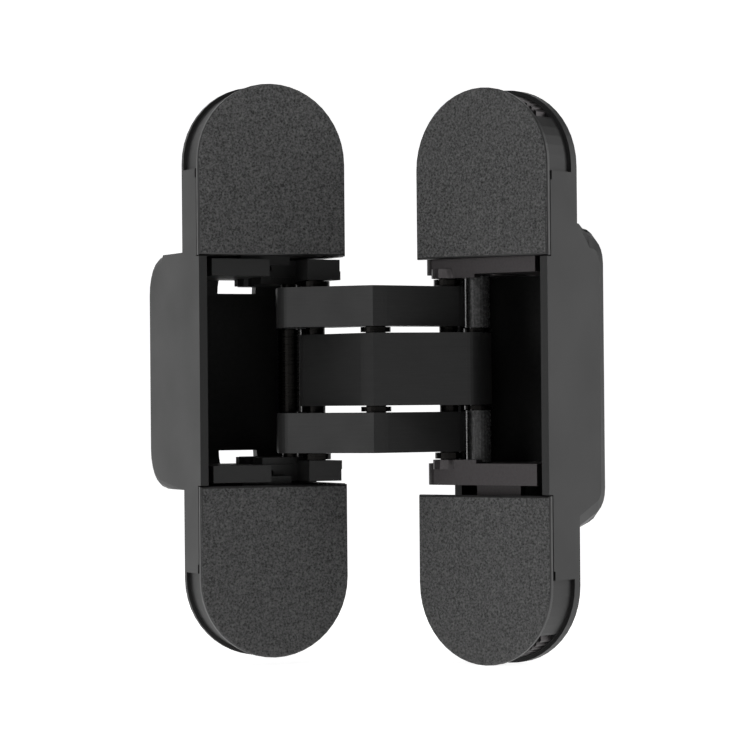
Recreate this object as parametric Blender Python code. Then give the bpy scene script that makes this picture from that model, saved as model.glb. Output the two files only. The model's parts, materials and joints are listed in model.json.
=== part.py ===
"""Concealed door hinge: two mortised housings joined by a three-armed scissor linkage.

Sizes are metres. Each half is drawn in its own plan: u runs outward from the half's inner edge,
w runs from the face plate into the wood, z runs up the pivot axes. The frame half lies square to
the world, with its face to -Y and the middle of its flat back at the origin. The door half stands
at the opening angle of REST_OPENING.
"""

import math

import bmesh
import bpy
from mathutils import Matrix, Vector

# Face plates and housings
PLATE_WIDTH = 0.0300
PLATE_HEIGHT = 0.1085
TIP_START = PLATE_HEIGHT / 2 - PLATE_WIDTH / 2
PLATE_DEPTH = {"frame": 0.0088, "door": 0.0102}
POCKET_DEPTH = {"frame": 0.0283, "door": 0.0222}
POCKET_CORNER = {"frame": 0.0075, "door": 0.0070}
POCKET_FILLET = {"frame": 0.0015, "door": 0.0045}
POCKET_FLOOR = {"frame": 0.0020, "door": 0.0017}
SIDE_WALL = 0.0016
END_WALL = 0.0009
RECESS_FLOOR = 0.0020
RIM_THICKNESS = {"frame": 0.0010, "door": 0.0019}
END_INSET = 0.0007
END_SKIN = 0.0009
WALL_END_DROP = 0.00125
INNER_NOTCH_DEPTH = {"frame": 0.0152, "door": 0.0121}
WINDOW_WIDTH = 0.0080
WINDOW_HEIGHT = 0.0040
WINDOW_START = 0.0081
WINDOW_DROP = 0.0071
MOUNT_HOLE = 0.0042
MOUNT_SINK = 0.0076
MOUNT_SINK_DEPTH = 0.0015
MOUNT_DROP = 0.00975
MOUNT_SPREAD = 0.0058

# Caps
CAP_THICKNESS = 0.0011
CAP_EDGE = 0.0004
CAP_SKIRT = 0.0008
CAP_SKIRT_DEPTH = 0.0014
CAP_SKIRT_SETBACK = 0.0045
PRY_HEIGHT = 0.0017
PRY_DEPTH = 0.0005

# Linkage in plan
REST_OPENING = math.radians(119.0)
FULL_OPENING = math.radians(180.0)
REST_EDGE_GAP = 0.01346
PIVOT_INSET = 0.0049
PIVOT_DEPTH = 0.0036
ARM_LENGTH = 0.0167
SWING_SHARE = 0.685
TAIL_LENGTH = {"frame": 0.0231, "door": 0.0223}
TAIL_LEAD = {"frame": math.radians(2.4), "door": math.radians(4.6)}
PIVOT_EYE = 0.0031
CENTRE_EYE = 0.0036
SLIDER_EYE = 0.0026
RIDGE_RISE = 0.0044
HOOK_WEB = 0.0013

# Fits
GAP = 0.0003
SEAT = 0.0002
PIN_FIT = 0.0002
PIN_CLEAR = 0.0003
OVERCUT = 0.0010
ARC_STEPS = 12
WELD = 0.00002

# Adjustment: sideways and in depth in the frame, in height in the door
SIDE_TRAVEL = 0.0010
DEPTH_TRAVEL = 0.0010
HEIGHT_TRAVEL = 0.0030
HEIGHT_SET = -0.0015

# The stack in height, from the end of the frame's pocket down to the middle arm
FRAME_POCKET_HALF = 0.0225
CARRIER_ROOM = 0.0005
BAR_HEIGHT = 0.0032
BOSS_DROP = 0.0007
GUIDE_DROP = 0.0013
WASHER_SPACE = 0.00155
OUTER_HEIGHT = 0.00755
ARM_SPACE = 0.0013
DOOR_CARRIER_HEIGHT = 0.0041
DOOR_BOSS_RISE = 0.0011
PIN_ROOF = 0.0004
FRAME_LIP = 0.0008
DOOR_POCKET_SPARE = 0.0035
FRAME_CARRIER_TOP = FRAME_POCKET_HALF - END_WALL - CARRIER_ROOM
CARRIER_LEVEL = FRAME_CARRIER_TOP - BAR_HEIGHT
GUIDE_LEVEL = CARRIER_LEVEL - GUIDE_DROP
BOSS_LEVEL = CARRIER_LEVEL - BOSS_DROP
OUTER_HIGH = BOSS_LEVEL - WASHER_SPACE
OUTER_LOW = OUTER_HIGH - OUTER_HEIGHT
MIDDLE_HALF = OUTER_LOW - ARM_SPACE
DOOR_CARRIER_TOP = CARRIER_LEVEL + DOOR_CARRIER_HEIGHT
CARRIER_TOP = {"frame": FRAME_CARRIER_TOP, "door": DOOR_CARRIER_TOP}
DOOR_BOSS_TOP = CARRIER_LEVEL + DOOR_BOSS_RISE
PIN_TOP = {"frame": FRAME_CARRIER_TOP, "door": DOOR_BOSS_TOP - PIN_ROOF}
OPENING_HALF_HEIGHT = {"frame": FRAME_POCKET_HALF - FRAME_LIP, "door": DOOR_CARRIER_TOP + GAP}
DOOR_POCKET_HALF = DOOR_CARRIER_TOP + HEIGHT_TRAVEL + DOOR_POCKET_SPARE
POCKET_HALF_HEIGHT = {"frame": FRAME_POCKET_HALF, "door": DOOR_POCKET_HALF}

# Pins, washers and rollers
PIVOT_PIN_RADIUS = 0.0018
CENTRE_PIN_RADIUS = 0.0019
SLIDER_PIN_RADIUS = 0.0015
WASHER_RADIUS = 0.00285
PIVOT_WASHER_RADIUS = 0.0028
ROLLER_RADIUS = 0.0024
SLEEVE_RADIUS = 0.0023
RING_RADIUS = 0.0027
RING_THICKNESS = 0.0007
SLIDER_PIN_BITE = 0.0019

# Carriers
CARRIER_FRONT = {"frame": 0.0008, "door": 0.0016}
BOSS_RADIUS = 0.0034
BOSS_START = 0.0008
BOSS_END = 0.0076
BOSS_BACK = 0.0070
BOSS_CORNER = 0.0004
BAR_START = 0.0154
BAR_DEPTH = 0.0060
BAR_DIMPLE = 0.0006
BAR_DIMPLE_PLACE = 0.0131
BAR_DIMPLE_DEPTH = 0.0008
NOSE_START = 0.0002
NOSE_CORNER = 0.0024
DOOR_SIDE_ROOM = 0.0022
DOOR_PAD_WIDTH = 0.0124
GUIDE_START = 0.0072
GUIDE_BACK = 0.0210
GUIDE_SIDE = 0.0146
LUG_START = 0.0088
LUG_END = 0.0125
LUG_BACK = 0.0250
GROOVE_DEPTH = 0.0022
TONGUE_WIDTH = 0.0100
TONGUE_THICKNESS = 0.0016
TONGUE_REACH = {"frame": 0.0035, "door": 0.0120}

# Clamping screws
SCREW_HEAD = 0.0034
SCREW_HEAD_HEIGHT = 0.0010
SCREW_SHANK = 0.0016
SCREW_SOCKET = 0.0012
CLAMP_SHARE = 0.7

# Toothed plates of the height adjustment, seen through the ends of the door housing
END_WINDOW = math.radians(40.0)
END_WINDOW_FRONT = 0.0022
RACK_INNER = 0.0118
RACK_ROOT = 0.0124
RACK_OUTER = 0.0141
RACK_SPREAD = math.radians(33.0)
RACK_FRONT = 0.0046
TOOTH_PITCH = 0.00100
TOOTH_WIDTH = 0.00045

CREASE = math.radians(32.0)
CORNER = math.radians(60.0)
SIDE = {"frame": -1.0, "door": 1.0}
ENDS = {"upper": 1.0, "lower": -1.0}

for leftover in list(bpy.data.objects):
    bpy.data.objects.remove(leftover, do_unlink=True)

scene_collection = bpy.context.scene.collection
parts = bpy.data.collections.new("concealed_hinge")
cutters = bpy.data.collections.new("cutters")
scene_collection.children.link(parts)
scene_collection.children.link(cutters)


def material(name, colour, roughness, metallic):
    """A plain finish for one kind of piece."""
    finish = bpy.data.materials.new(name)
    finish.use_nodes = True
    shader = finish.node_tree.nodes["Principled BSDF"]
    shader.inputs["Base Color"].default_value = (*colour, 1.0)
    shader.inputs["Roughness"].default_value = roughness
    shader.inputs["Metallic"].default_value = metallic
    return finish


COATED = ((0.030, 0.030, 0.030), 0.55, 0.0)
GRAINED = ((0.024, 0.024, 0.024), 0.62, 0.0)
BRUSHED = ((0.036, 0.036, 0.036), 0.38, 0.8)
BURNISHED = ((0.12, 0.115, 0.11), 0.22, 1.0)
SATIN = ((0.055, 0.052, 0.054), 0.42, 0.7)


# Plan geometry of the linkage


def polar(centre, radius, angle):
    return (centre[0] + radius * math.cos(angle), centre[1] + radius * math.sin(angle))


def arc(centre, radius, start, end, steps=ARC_STEPS):
    """Points along a circular arc, both ends included."""
    return [polar(centre, radius, start + (end - start) * i / steps) for i in range(steps + 1)]


def circle(centre, radius, steps=2 * ARC_STEPS):
    return arc(centre, radius, 0.0, math.tau * (steps - 1) / steps, steps - 1)


def hull(points):
    """Convex outline around a set of plan points."""
    ordered = sorted(set(points))
    chains = []
    for run in (ordered, ordered[::-1]):
        chain = []
        for point in run:
            while len(chain) > 1 and turn(chain[-2], chain[-1], point) <= 0.0:
                chain.pop()
            chain.append(point)
        chains.extend(chain[:-1])
    return chains


def turn(a, b, c):
    return (b[0] - a[0]) * (c[1] - a[1]) - (b[1] - a[1]) * (c[0] - a[0])


PIVOT = (PIVOT_INSET, PIVOT_DEPTH)
FOLD_NORMAL = math.pi / 2 - REST_OPENING / 2


def rest_limb_angle():
    """Direction from the pivot to the centre pin that gives the edge gap at rest."""
    along = PIVOT_INSET * math.cos(FOLD_NORMAL) + PIVOT_DEPTH * math.sin(FOLD_NORMAL)
    return FOLD_NORMAL - math.acos((-REST_EDGE_GAP / 2 - along) / ARM_LENGTH)


def centre_at(opening):
    """Place of the centre pin in a half's plan at an opening angle."""
    angle = rest_limb_angle() - SWING_SHARE * (opening - REST_OPENING)
    return polar(PIVOT, ARM_LENGTH, angle)


def tail_angle(half, opening):
    start = rest_limb_angle() + math.pi - TAIL_LEAD[half]
    return start - (1.0 - SWING_SHARE) * (opening - REST_OPENING)


def slider_at(half, opening):
    """Place of the slider pin in a half's plan at an opening angle."""
    return polar(centre_at(opening), TAIL_LENGTH[half], tail_angle(half, opening))


CENTRE = centre_at(REST_OPENING)


def across_fold(point):
    """Mirror a plan point from one half to the other, about the fold plane at rest."""
    normal = (math.cos(FOLD_NORMAL), math.sin(FOLD_NORMAL))
    off = (point[0] - CENTRE[0]) * normal[0] + (point[1] - CENTRE[1]) * normal[1]
    return (point[0] - 2.0 * off * normal[0], point[1] - 2.0 * off * normal[1])


def lead_at(half, opening):
    """Angle from an arm's tail to the pin that its slot clears."""
    return TAIL_LEAD[half] - (2.0 * SWING_SHARE - 1.0) * (opening - REST_OPENING)


RIDGE = polar(CENTRE, RIDGE_RISE, FOLD_NORMAL - math.pi / 2)
SLOT_HALF = PIVOT_PIN_RADIUS + PIN_CLEAR


def pivot_limb():
    """Outline of an arm from the centre to its own fixed pin."""
    return hull(circle(PIVOT, PIVOT_EYE) + circle(CENTRE, CENTRE_EYE) + [RIDGE])


def tail_limb(half):
    """Outline of an arm from the centre to its slider, hooked round the half's fixed pin."""
    tail = tail_angle(half, REST_OPENING)
    bend = polar(CENTRE, ARM_LENGTH, tail + lead_at(half, FULL_OPENING))
    outer = circle(bend, SLOT_HALF + HOOK_WEB, 3 * ARC_STEPS)
    eye = circle(slider_at(half, REST_OPENING), SLIDER_EYE)
    return hull(circle(CENTRE, CENTRE_EYE) + [RIDGE] + outer + eye)


def tail_slot(half):
    """Outline of the curved slot that lets the half's fixed pin pass as the hinge closes."""
    tail = tail_angle(half, REST_OPENING)
    closed_end = tail + lead_at(half, 0.0)
    open_end = tail + lead_at(half, FULL_OPENING)
    far = arc(CENTRE, ARM_LENGTH + SLOT_HALF, open_end, closed_end)
    near = arc(CENTRE, ARM_LENGTH - SLOT_HALF, closed_end, open_end)
    bend = polar(CENTRE, ARM_LENGTH, open_end)
    round_end = arc(bend, SLOT_HALF, open_end + math.pi, open_end + math.tau)
    return far + near[:-1] + round_end[:-1]


def groove(half):
    """Outline of the groove that guides a slider pin through the whole swing."""
    steps = 2 * ARC_STEPS
    path = [slider_at(half, FULL_OPENING * i / steps) for i in range(steps + 1)]
    width = SLIDER_PIN_RADIUS + PIN_FIT
    left, right = [], []
    for i, point in enumerate(path):
        before = path[max(i - 1, 0)]
        after = path[min(i + 1, steps)]
        heading = math.atan2(after[1] - before[1], after[0] - before[0])
        left.append(polar(point, width, heading + math.pi / 2))
        right.append(polar(point, width, heading - math.pi / 2))
        if i == 0:
            start = heading
    finish = arc(path[-1], width, heading + math.pi / 2, heading - math.pi / 2, ARC_STEPS // 2)
    begin = arc(path[0], width, start - math.pi / 2, start - 3 * math.pi / 2, ARC_STEPS // 2)
    return left[:-1] + finish + right[-2:0:-1] + begin[:-1]


def rectangle(u_low, u_high, v_low, v_high):
    return [(u_low, v_low), (u_high, v_low), (u_high, v_high), (u_low, v_high)]


# Mesh building

AXES = {
    "uw": Matrix(((1, 0, 0), (0, 1, 0), (0, 0, 1))),
    "uz": Matrix(((1, 0, 0), (0, 0, 1), (0, 1, 0))),
    "wz": Matrix(((0, 0, 1), (1, 0, 0), (0, 1, 0))),
}


def prism(name, plane, outline, low, high, side=1.0):
    """Mesh of a flat outline drawn in a plane and extruded from low to high across it."""
    curve = bpy.data.curves.new(name, "CURVE")
    curve.dimensions = "2D"
    curve.fill_mode = "BOTH"
    curve.extrude = (high - low) / 2
    spline = curve.splines.new("POLY")
    spline.points.add(len(outline) - 1)
    for point, (a, b) in zip(spline.points, outline):
        point.co = (a, b, 0.0, 1.0)
    spline.use_cyclic_u = True
    holder = bpy.data.objects.new(name, curve)
    scene_collection.objects.link(holder)
    graph = bpy.context.evaluated_depsgraph_get()
    mesh = bpy.data.meshes.new_from_object(holder.evaluated_get(graph))
    bpy.data.objects.remove(holder, do_unlink=True)
    bpy.data.curves.remove(curve)
    turned = AXES[plane].to_4x4() @ Matrix.Translation((0.0, 0.0, (high + low) / 2))
    mesh.transform(Matrix.Scale(side, 4, (1.0, 0.0, 0.0)) @ turned)
    return tidy(mesh)


def tidy(mesh):
    """Weld a mesh's caps and turn its faces outward."""
    work = bmesh.new()
    work.from_mesh(mesh)
    bmesh.ops.remove_doubles(work, verts=work.verts, dist=WELD)
    bmesh.ops.dissolve_degenerate(work, edges=work.edges, dist=WELD)
    bmesh.ops.recalc_face_normals(work, faces=work.faces)
    work.to_mesh(mesh)
    work.free()
    return mesh


def rod(radius, low, high, centre, side=1.0, axis="z", steps=2 * ARC_STEPS):
    """Mesh of a round bar along z, or along w for a screw."""
    work = bmesh.new()
    bmesh.ops.create_cone(
        work, cap_ends=True, segments=steps, radius1=radius, radius2=radius, depth=high - low
    )
    mesh = bpy.data.meshes.new("rod")
    work.to_mesh(mesh)
    work.free()
    middle = (high + low) / 2
    if axis == "z":
        mesh.transform(Matrix.Translation((side * centre[0], centre[1], middle)))
    else:
        mesh.transform(Matrix.Rotation(math.pi / 2, 4, "X"))
        mesh.transform(Matrix.Translation((side * centre[0], middle, centre[1])))
    return mesh


def axis_empty(name, place, parent=None, spin=0.0):
    marker = bpy.data.objects.new(name, None)
    marker.location = place
    marker.rotation_euler = (0.0, 0.0, spin)
    marker.parent = parent
    marker.empty_display_size = 0.005
    scene_collection.objects.link(marker)
    return marker


def add(name, mesh, parent, offset, finish):
    """One named piece of the hinge, hung on the empty of its joint axis."""
    piece = bpy.data.objects.new(name, mesh)
    mesh.name = name
    mesh.materials.clear()
    mesh.materials.append(material(name, *finish))
    piece.parent = parent
    piece.location = offset
    parts.objects.link(piece)
    mesh.shade_smooth()
    mesh.set_sharp_from_angle(angle=CREASE)
    return piece


def shape(piece, operation, mesh, label):
    """Cut a mesh from a piece, or join it on, with a Boolean that stays on the piece."""
    tool = bpy.data.objects.new(f"{piece.name}.{label}", mesh)
    tool.parent = piece.parent
    tool.location = piece.location
    tool.hide_render = True
    tool.display_type = "WIRE"
    cutters.objects.link(tool)
    change = piece.modifiers.new(label, "BOOLEAN")
    change.operation = operation
    change.object = tool
    change.solver = "EXACT"
    return piece


def cut(piece, mesh, label):
    return shape(piece, "DIFFERENCE", mesh, label)


def join(piece, mesh, label):
    return shape(piece, "UNION", mesh, label)


def round_edges(mesh, width, angle, chosen=lambda edge: True, segments=3):
    """Round the edges of a mesh that are sharper than an angle."""
    work = bmesh.new()
    work.from_mesh(mesh)
    edges = [e for e in work.edges if e.calc_face_angle(0.0) > angle and chosen(e)]
    bmesh.ops.bevel(
        work, geom=edges, offset=width, segments=segments, profile=0.5, affect="EDGES"
    )
    work.to_mesh(mesh)
    work.free()
    return tidy(mesh)


# Placement of the halves

FRAME_DATUM = (PLATE_WIDTH / 2, -POCKET_DEPTH["frame"])


def to_world(point, height=0.0):
    """World place of a point in the frame half's plan."""
    return Vector((FRAME_DATUM[0] - point[0], FRAME_DATUM[1] + point[1], height))


def door_spin():
    """Turn of the door half about the pivot axes."""
    near = to_world(across_fold((0.0, 0.0)))
    far = to_world(across_fold((PLATE_WIDTH, 0.0)))
    return math.atan2(far.y - near.y, far.x - near.x)


frame_axis = axis_empty("frame_axis", to_world(PIVOT))
centre_axis = axis_empty("centre_axis", to_world(CENTRE))
door_axis = axis_empty("door_axis", to_world(across_fold(PIVOT)), spin=door_spin())

HALF_AXIS = {"frame": frame_axis, "door": door_axis}


def half_offset(half, height=0.0):
    """Offset that puts a mesh drawn in a half's plan on that half's pivot axis."""
    return (-SIDE[half] * PIVOT[0], -PIVOT[1], height)


FRAME_OFFSET = half_offset("frame")
CENTRE_OFFSET = (CENTRE[0], -CENTRE[1], 0.0)


# Housings and caps


def stadium():
    """Outline of the face plate in u and z."""
    radius = PLATE_WIDTH / 2
    top = arc((radius, TIP_START), radius, 0.0, math.pi, 2 * ARC_STEPS)
    bottom = arc((radius, -TIP_START), radius, math.pi, math.tau, 2 * ARC_STEPS)
    return top + bottom


def end_outline(end, start, inset=0.0):
    """Outline of one rounded end of the face plate, from a level to its tip."""
    radius = PLATE_WIDTH / 2
    tip = arc((radius, TIP_START), radius - inset, 0.0, math.pi, 2 * ARC_STEPS)
    outline = tip + [(inset, start), (PLATE_WIDTH - inset, start)]
    return [(u, end * z) for u, z in outline]


def pocket_outline(back, level, radius, front):
    """Outline of the deep pocket in w and z, with its rounded back corners."""
    upper = arc((back - radius, level - radius), radius, 0.0, math.pi / 2, ARC_STEPS // 2)
    lower = arc((back - radius, radius - level), radius, -math.pi / 2, 0.0, ARC_STEPS // 2)
    return lower + upper + [(front, level), (front, -level)]


def cavity_outline(half, back_room=0.0, level_room=0.0):
    """Outline inside the pocket, pulled in by what must stay free behind and at the ends."""
    back = POCKET_DEPTH[half] - POCKET_FLOOR[half] - back_room
    level = POCKET_HALF_HEIGHT[half] - END_WALL - level_room
    return pocket_outline(back, level, POCKET_CORNER[half] - END_WALL, -BOSS_RADIUS)


def build_housing(half):
    """The die-cast housing: face plate, deep pocket, end recesses and screw holes."""
    side = SIDE[half]
    depth = PLATE_DEPTH[half]
    height = HEIGHT_SET if half == "door" else 0.0
    offset = half_offset(half, height)
    finish = COATED
    plate = prism("plate", "uz", stadium(), 0.0, depth, side)
    housing = add(f"{half}_housing", plate, HALF_AXIS[half], offset, finish)

    outline = pocket_outline(
        POCKET_DEPTH[half], POCKET_HALF_HEIGHT[half], POCKET_CORNER[half], depth / 2
    )
    pocket = prism("pocket", "wz", outline, 0.0, PLATE_WIDTH, side)
    back = depth + POCKET_FILLET[half] / 2
    round_edges(
        pocket,
        POCKET_FILLET[half],
        CORNER,
        lambda edge: all(vert.co.y > back for vert in edge.verts),
    )
    join(housing, pocket, "pocket")

    span = (SIDE_WALL, PLATE_WIDTH - SIDE_WALL)
    cut(housing, prism("cavity", "wz", cavity_outline(half), *span, side), "cavity")
    level = POCKET_HALF_HEIGHT[half] - END_WALL
    notch = rectangle(-OVERCUT, SIDE_WALL + OVERCUT, -level, level)
    cut(housing, prism("notch", "uz", notch, -OVERCUT, INNER_NOTCH_DEPTH[half], side), "notch")

    for end, way in ENDS.items():
        cut_end(housing, half, end, way)
    for end, way in ENDS.items():
        if half == "frame":
            levels = window_levels(way)
            window = rectangle(WINDOW_START, WINDOW_START + WINDOW_WIDTH, *levels)
            back_low = POCKET_DEPTH[half] - POCKET_FLOOR[half] - OVERCUT
            back_high = POCKET_DEPTH[half] + OVERCUT
            cut(housing, prism("window", "uz", window, back_low, back_high, side), f"{end}_window")
        else:
            levels = (END_WINDOW_FRONT, depth - RECESS_FLOOR - SEAT)
            cut(housing, prism("tip", "uz", end_window(way), *levels, side), f"{end}_tip")
    return housing


def cut_end(housing, half, end, way):
    """The seat for a cap, the recess under it, the inset end wall and the mounting holes."""
    side = SIDE[half]
    depth = PLATE_DEPTH[half]
    opening = OPENING_HALF_HEIGHT[half]
    wall_end = TIP_START - WALL_END_DROP
    seat_back = CAP_THICKNESS + SEAT
    seat = end_outline(way, opening - SEAT, -OVERCUT)
    cut(housing, prism("seat", "uz", seat, -OVERCUT, seat_back, side), f"{end}_seat")
    recess = end_outline(way, opening - OVERCUT, END_INSET + END_SKIN)
    floor = depth - RECESS_FLOOR
    cut(housing, prism("recess", "uz", recess, 0.0, floor, side), f"{end}_recess")
    tip = end_outline(way, wall_end, -OVERCUT)
    ledge = prism("ledge", "uz", tip, 0.0, depth - RIM_THICKNESS[half], side)
    inner = end_outline(way, wall_end - OVERCUT, END_INSET)
    keep = prism("keep", "uz", inner, -OVERCUT, depth, side)
    cut(housing, difference(housing, ledge, keep, f"{end}_ledge"), f"{end}_ledge")
    pry_levels = sorted((way * (wall_end - PRY_HEIGHT), way * (wall_end + OVERCUT)))
    pry = rectangle(PLATE_WIDTH - SIDE_WALL / 2, PLATE_WIDTH + OVERCUT, *pry_levels)
    cut(housing, prism("pry", "uz", pry, 0.0, seat_back + PRY_DEPTH, side), f"{end}_pry")
    level = PLATE_HEIGHT / 2 - MOUNT_DROP
    for row, column in ((-1.0, "inner"), (1.0, "outer")):
        spot = (PLATE_WIDTH / 2 + row * MOUNT_SPREAD, way * level)
        cut(housing, countersunk(floor, depth, spot, side), f"{end}_hole_{column}")


def countersunk(floor, back, spot, side):
    """Cutter for a screw hole: a cone at the floor that runs on as a straight bore."""
    work = bmesh.new()
    bmesh.ops.create_cone(
        work,
        cap_ends=True,
        segments=2 * ARC_STEPS,
        radius1=MOUNT_HOLE / 2,
        radius2=MOUNT_SINK / 2,
        depth=MOUNT_SINK_DEPTH + SEAT,
    )
    narrow = min(work.faces, key=lambda face: face.calc_center_median().z)
    bore = bmesh.ops.extrude_face_region(work, geom=[narrow])
    moved = [part for part in bore["geom"] if isinstance(part, bmesh.types.BMVert)]
    run = back + OVERCUT - floor - MOUNT_SINK_DEPTH
    bmesh.ops.translate(work, verts=moved, vec=(0.0, 0.0, -run))
    bmesh.ops.delete(work, geom=[narrow], context="FACES_ONLY")
    mesh = bpy.data.meshes.new("countersunk")
    work.to_mesh(mesh)
    work.free()
    middle = floor + (MOUNT_SINK_DEPTH - SEAT) / 2
    mesh.transform(Matrix.Rotation(math.pi / 2, 4, "X"))
    mesh.transform(Matrix.Translation((side * spot[0], middle, spot[1])))
    return tidy(mesh)


def window_levels(way):
    """Lowest and highest level of a window in the frame pocket's floor."""
    low = FRAME_POCKET_HALF - WINDOW_DROP
    return sorted((way * low, way * (low + WINDOW_HEIGHT)))


def end_window(way):
    """Outline of the opening in a rounded end wall of the door housing."""
    radius = PLATE_WIDTH / 2
    centre = (radius, TIP_START)
    inner = radius - END_INSET - END_SKIN - OVERCUT
    start, end = END_WINDOW, math.pi - END_WINDOW
    near = arc(centre, inner, end, start)
    far = arc(centre, radius - END_INSET + OVERCUT / 2, start, end)
    return [(u, way * z) for u, z in far + near]


def difference(owner, base, inner, label):
    """Mesh of one prism less another, for a ring-shaped cutter."""
    outer_tool = bpy.data.objects.new(f"{owner.name}.{label}.outer", base)
    inner_tool = bpy.data.objects.new(f"{owner.name}.{label}.inner", inner)
    for tool in (outer_tool, inner_tool):
        tool.hide_render = True
        tool.display_type = "WIRE"
        cutters.objects.link(tool)
    change = outer_tool.modifiers.new("ring", "BOOLEAN")
    change.operation = "DIFFERENCE"
    change.object = inner_tool
    change.solver = "EXACT"
    graph = bpy.context.evaluated_depsgraph_get()
    mesh = bpy.data.meshes.new_from_object(outer_tool.evaluated_get(graph))
    for tool in (outer_tool, inner_tool):
        bpy.data.objects.remove(tool, do_unlink=True)
    return tidy(mesh)


def rack_outline(way):
    """An arc with upright teeth along its outer edge, for the height adjustment."""
    centre = (PLATE_WIDTH / 2, TIP_START)
    inner = arc(centre, RACK_INNER, RACK_SPREAD, math.pi - RACK_SPREAD, 2 * ARC_STEPS)
    reach = RACK_ROOT * math.cos(RACK_SPREAD)
    count = int(2 * (reach - TOOTH_WIDTH) / TOOTH_PITCH) + 1
    first = -(count - 1) * TOOTH_PITCH / 2
    teeth = [polar(centre, RACK_ROOT, math.pi - RACK_SPREAD)]
    for i in range(count):
        for edge in (-TOOTH_WIDTH / 2, TOOTH_WIDTH / 2):
            off = first + i * TOOTH_PITCH + edge
            root = (centre[0] + off, centre[1] + math.sqrt(RACK_ROOT**2 - off**2))
            tip = (centre[0] + off, centre[1] + math.sqrt(RACK_OUTER**2 - off**2))
            teeth += [root, tip] if edge < 0.0 else [tip, root]
    teeth.append(polar(centre, RACK_ROOT, RACK_SPREAD))
    return [(u, way * z) for u, z in teeth + inner]


def build_rack(end, way):
    """The toothed plate under a door cap, which the height setting locks into."""
    floor = PLATE_DEPTH["door"] - RECESS_FLOOR
    plate = prism("rack", "uz", rack_outline(way), RACK_FRONT, floor - SEAT, SIDE["door"])
    return add(f"door_rack_{end}", plate, door_axis, half_offset("door", HEIGHT_SET), SATIN)


def build_cap(half, end, way):
    """A clip-on end cover with a rounded front edge and a short skirt."""
    side = SIDE[half]
    height = HEIGHT_SET if half == "door" else 0.0
    start = OPENING_HALF_HEIGHT[half]
    cover = prism("cover", "uz", end_outline(way, start), 0.0, CAP_THICKNESS, side)
    round_edges(
        cover,
        CAP_EDGE,
        CORNER,
        lambda edge: all(vert.co.y < CAP_THICKNESS / 2 for vert in edge.verts),
        2,
    )
    name = f"{half}_cap_{end}"
    cap = add(name, cover, HALF_AXIS[half], half_offset(half, height), GRAINED)
    reach = END_INSET + END_SKIN + GAP
    deep = CAP_THICKNESS + CAP_SKIRT_DEPTH
    outer = end_outline(way, start + CAP_SKIRT_SETBACK, reach)
    inner = end_outline(way, start - OVERCUT, reach + CAP_SKIRT)
    skirt = difference(
        cap,
        prism("skirt", "uz", outer, CAP_THICKNESS / 2, deep, side),
        prism("inside", "uz", inner, 0.0, deep + OVERCUT, side),
        "skirt",
    )
    join(cap, skirt, "skirt")
    return cap


# Carriers and slides


def carrier_outline(half):
    """Plan of a carrier: the deep block, and the boss or nose that stands in the notch."""
    low, high, back = carrier_limits(half)
    corner = POCKET_CORNER[half] / 2
    front = CARRIER_FRONT[half]
    far = arc((high - corner, back - corner), corner, 0.0, math.pi / 2, ARC_STEPS // 3)
    near = arc((low + corner, back - corner), corner, math.pi / 2, math.pi, ARC_STEPS // 3)
    start = BOSS_START if half == "frame" else NOSE_START
    round_off = BOSS_CORNER if half == "frame" else NOSE_CORNER
    turn_in = (start + round_off, front + round_off)
    entry = arc(turn_in, round_off, math.pi, 3 * math.pi / 2, ARC_STEPS // 2)
    outline = far + near + [(low, BOSS_BACK), (start, BOSS_BACK)] + entry
    if half == "frame":
        throat = front + BAR_DEPTH
        outline += [(BOSS_END, front), (BOSS_END, throat), (BAR_START, throat), (BAR_START, front)]
    return outline + [(high, front)]


def carrier_limits(half):
    """How far a carrier reaches in u, and back in w, with the room that it travels in."""
    if half == "door":
        low = SIDE_WALL + GAP
        high = PLATE_WIDTH - SIDE_WALL - DOOR_SIDE_ROOM
        return low, high, POCKET_DEPTH[half] - POCKET_FLOOR[half] - GAP
    room = SIDE_WALL + GAP + SIDE_TRAVEL
    back = POCKET_DEPTH[half] - POCKET_FLOOR[half] - GAP - DEPTH_TRAVEL
    return room, PLATE_WIDTH - room, back


def guide_outline():
    """Plan of the pad round the frame's groove, with a lug that reaches over the window."""
    low = SIDE_WALL + GAP + SIDE_TRAVEL
    side = [(GUIDE_SIDE, GUIDE_START), (GUIDE_SIDE, GUIDE_BACK), (LUG_END, GUIDE_BACK)]
    lug = [(LUG_END, LUG_BACK), (LUG_START, LUG_BACK), (LUG_START, GUIDE_BACK)]
    return [(low, GUIDE_START)] + side + lug + [(low, GUIDE_BACK)]


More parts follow.
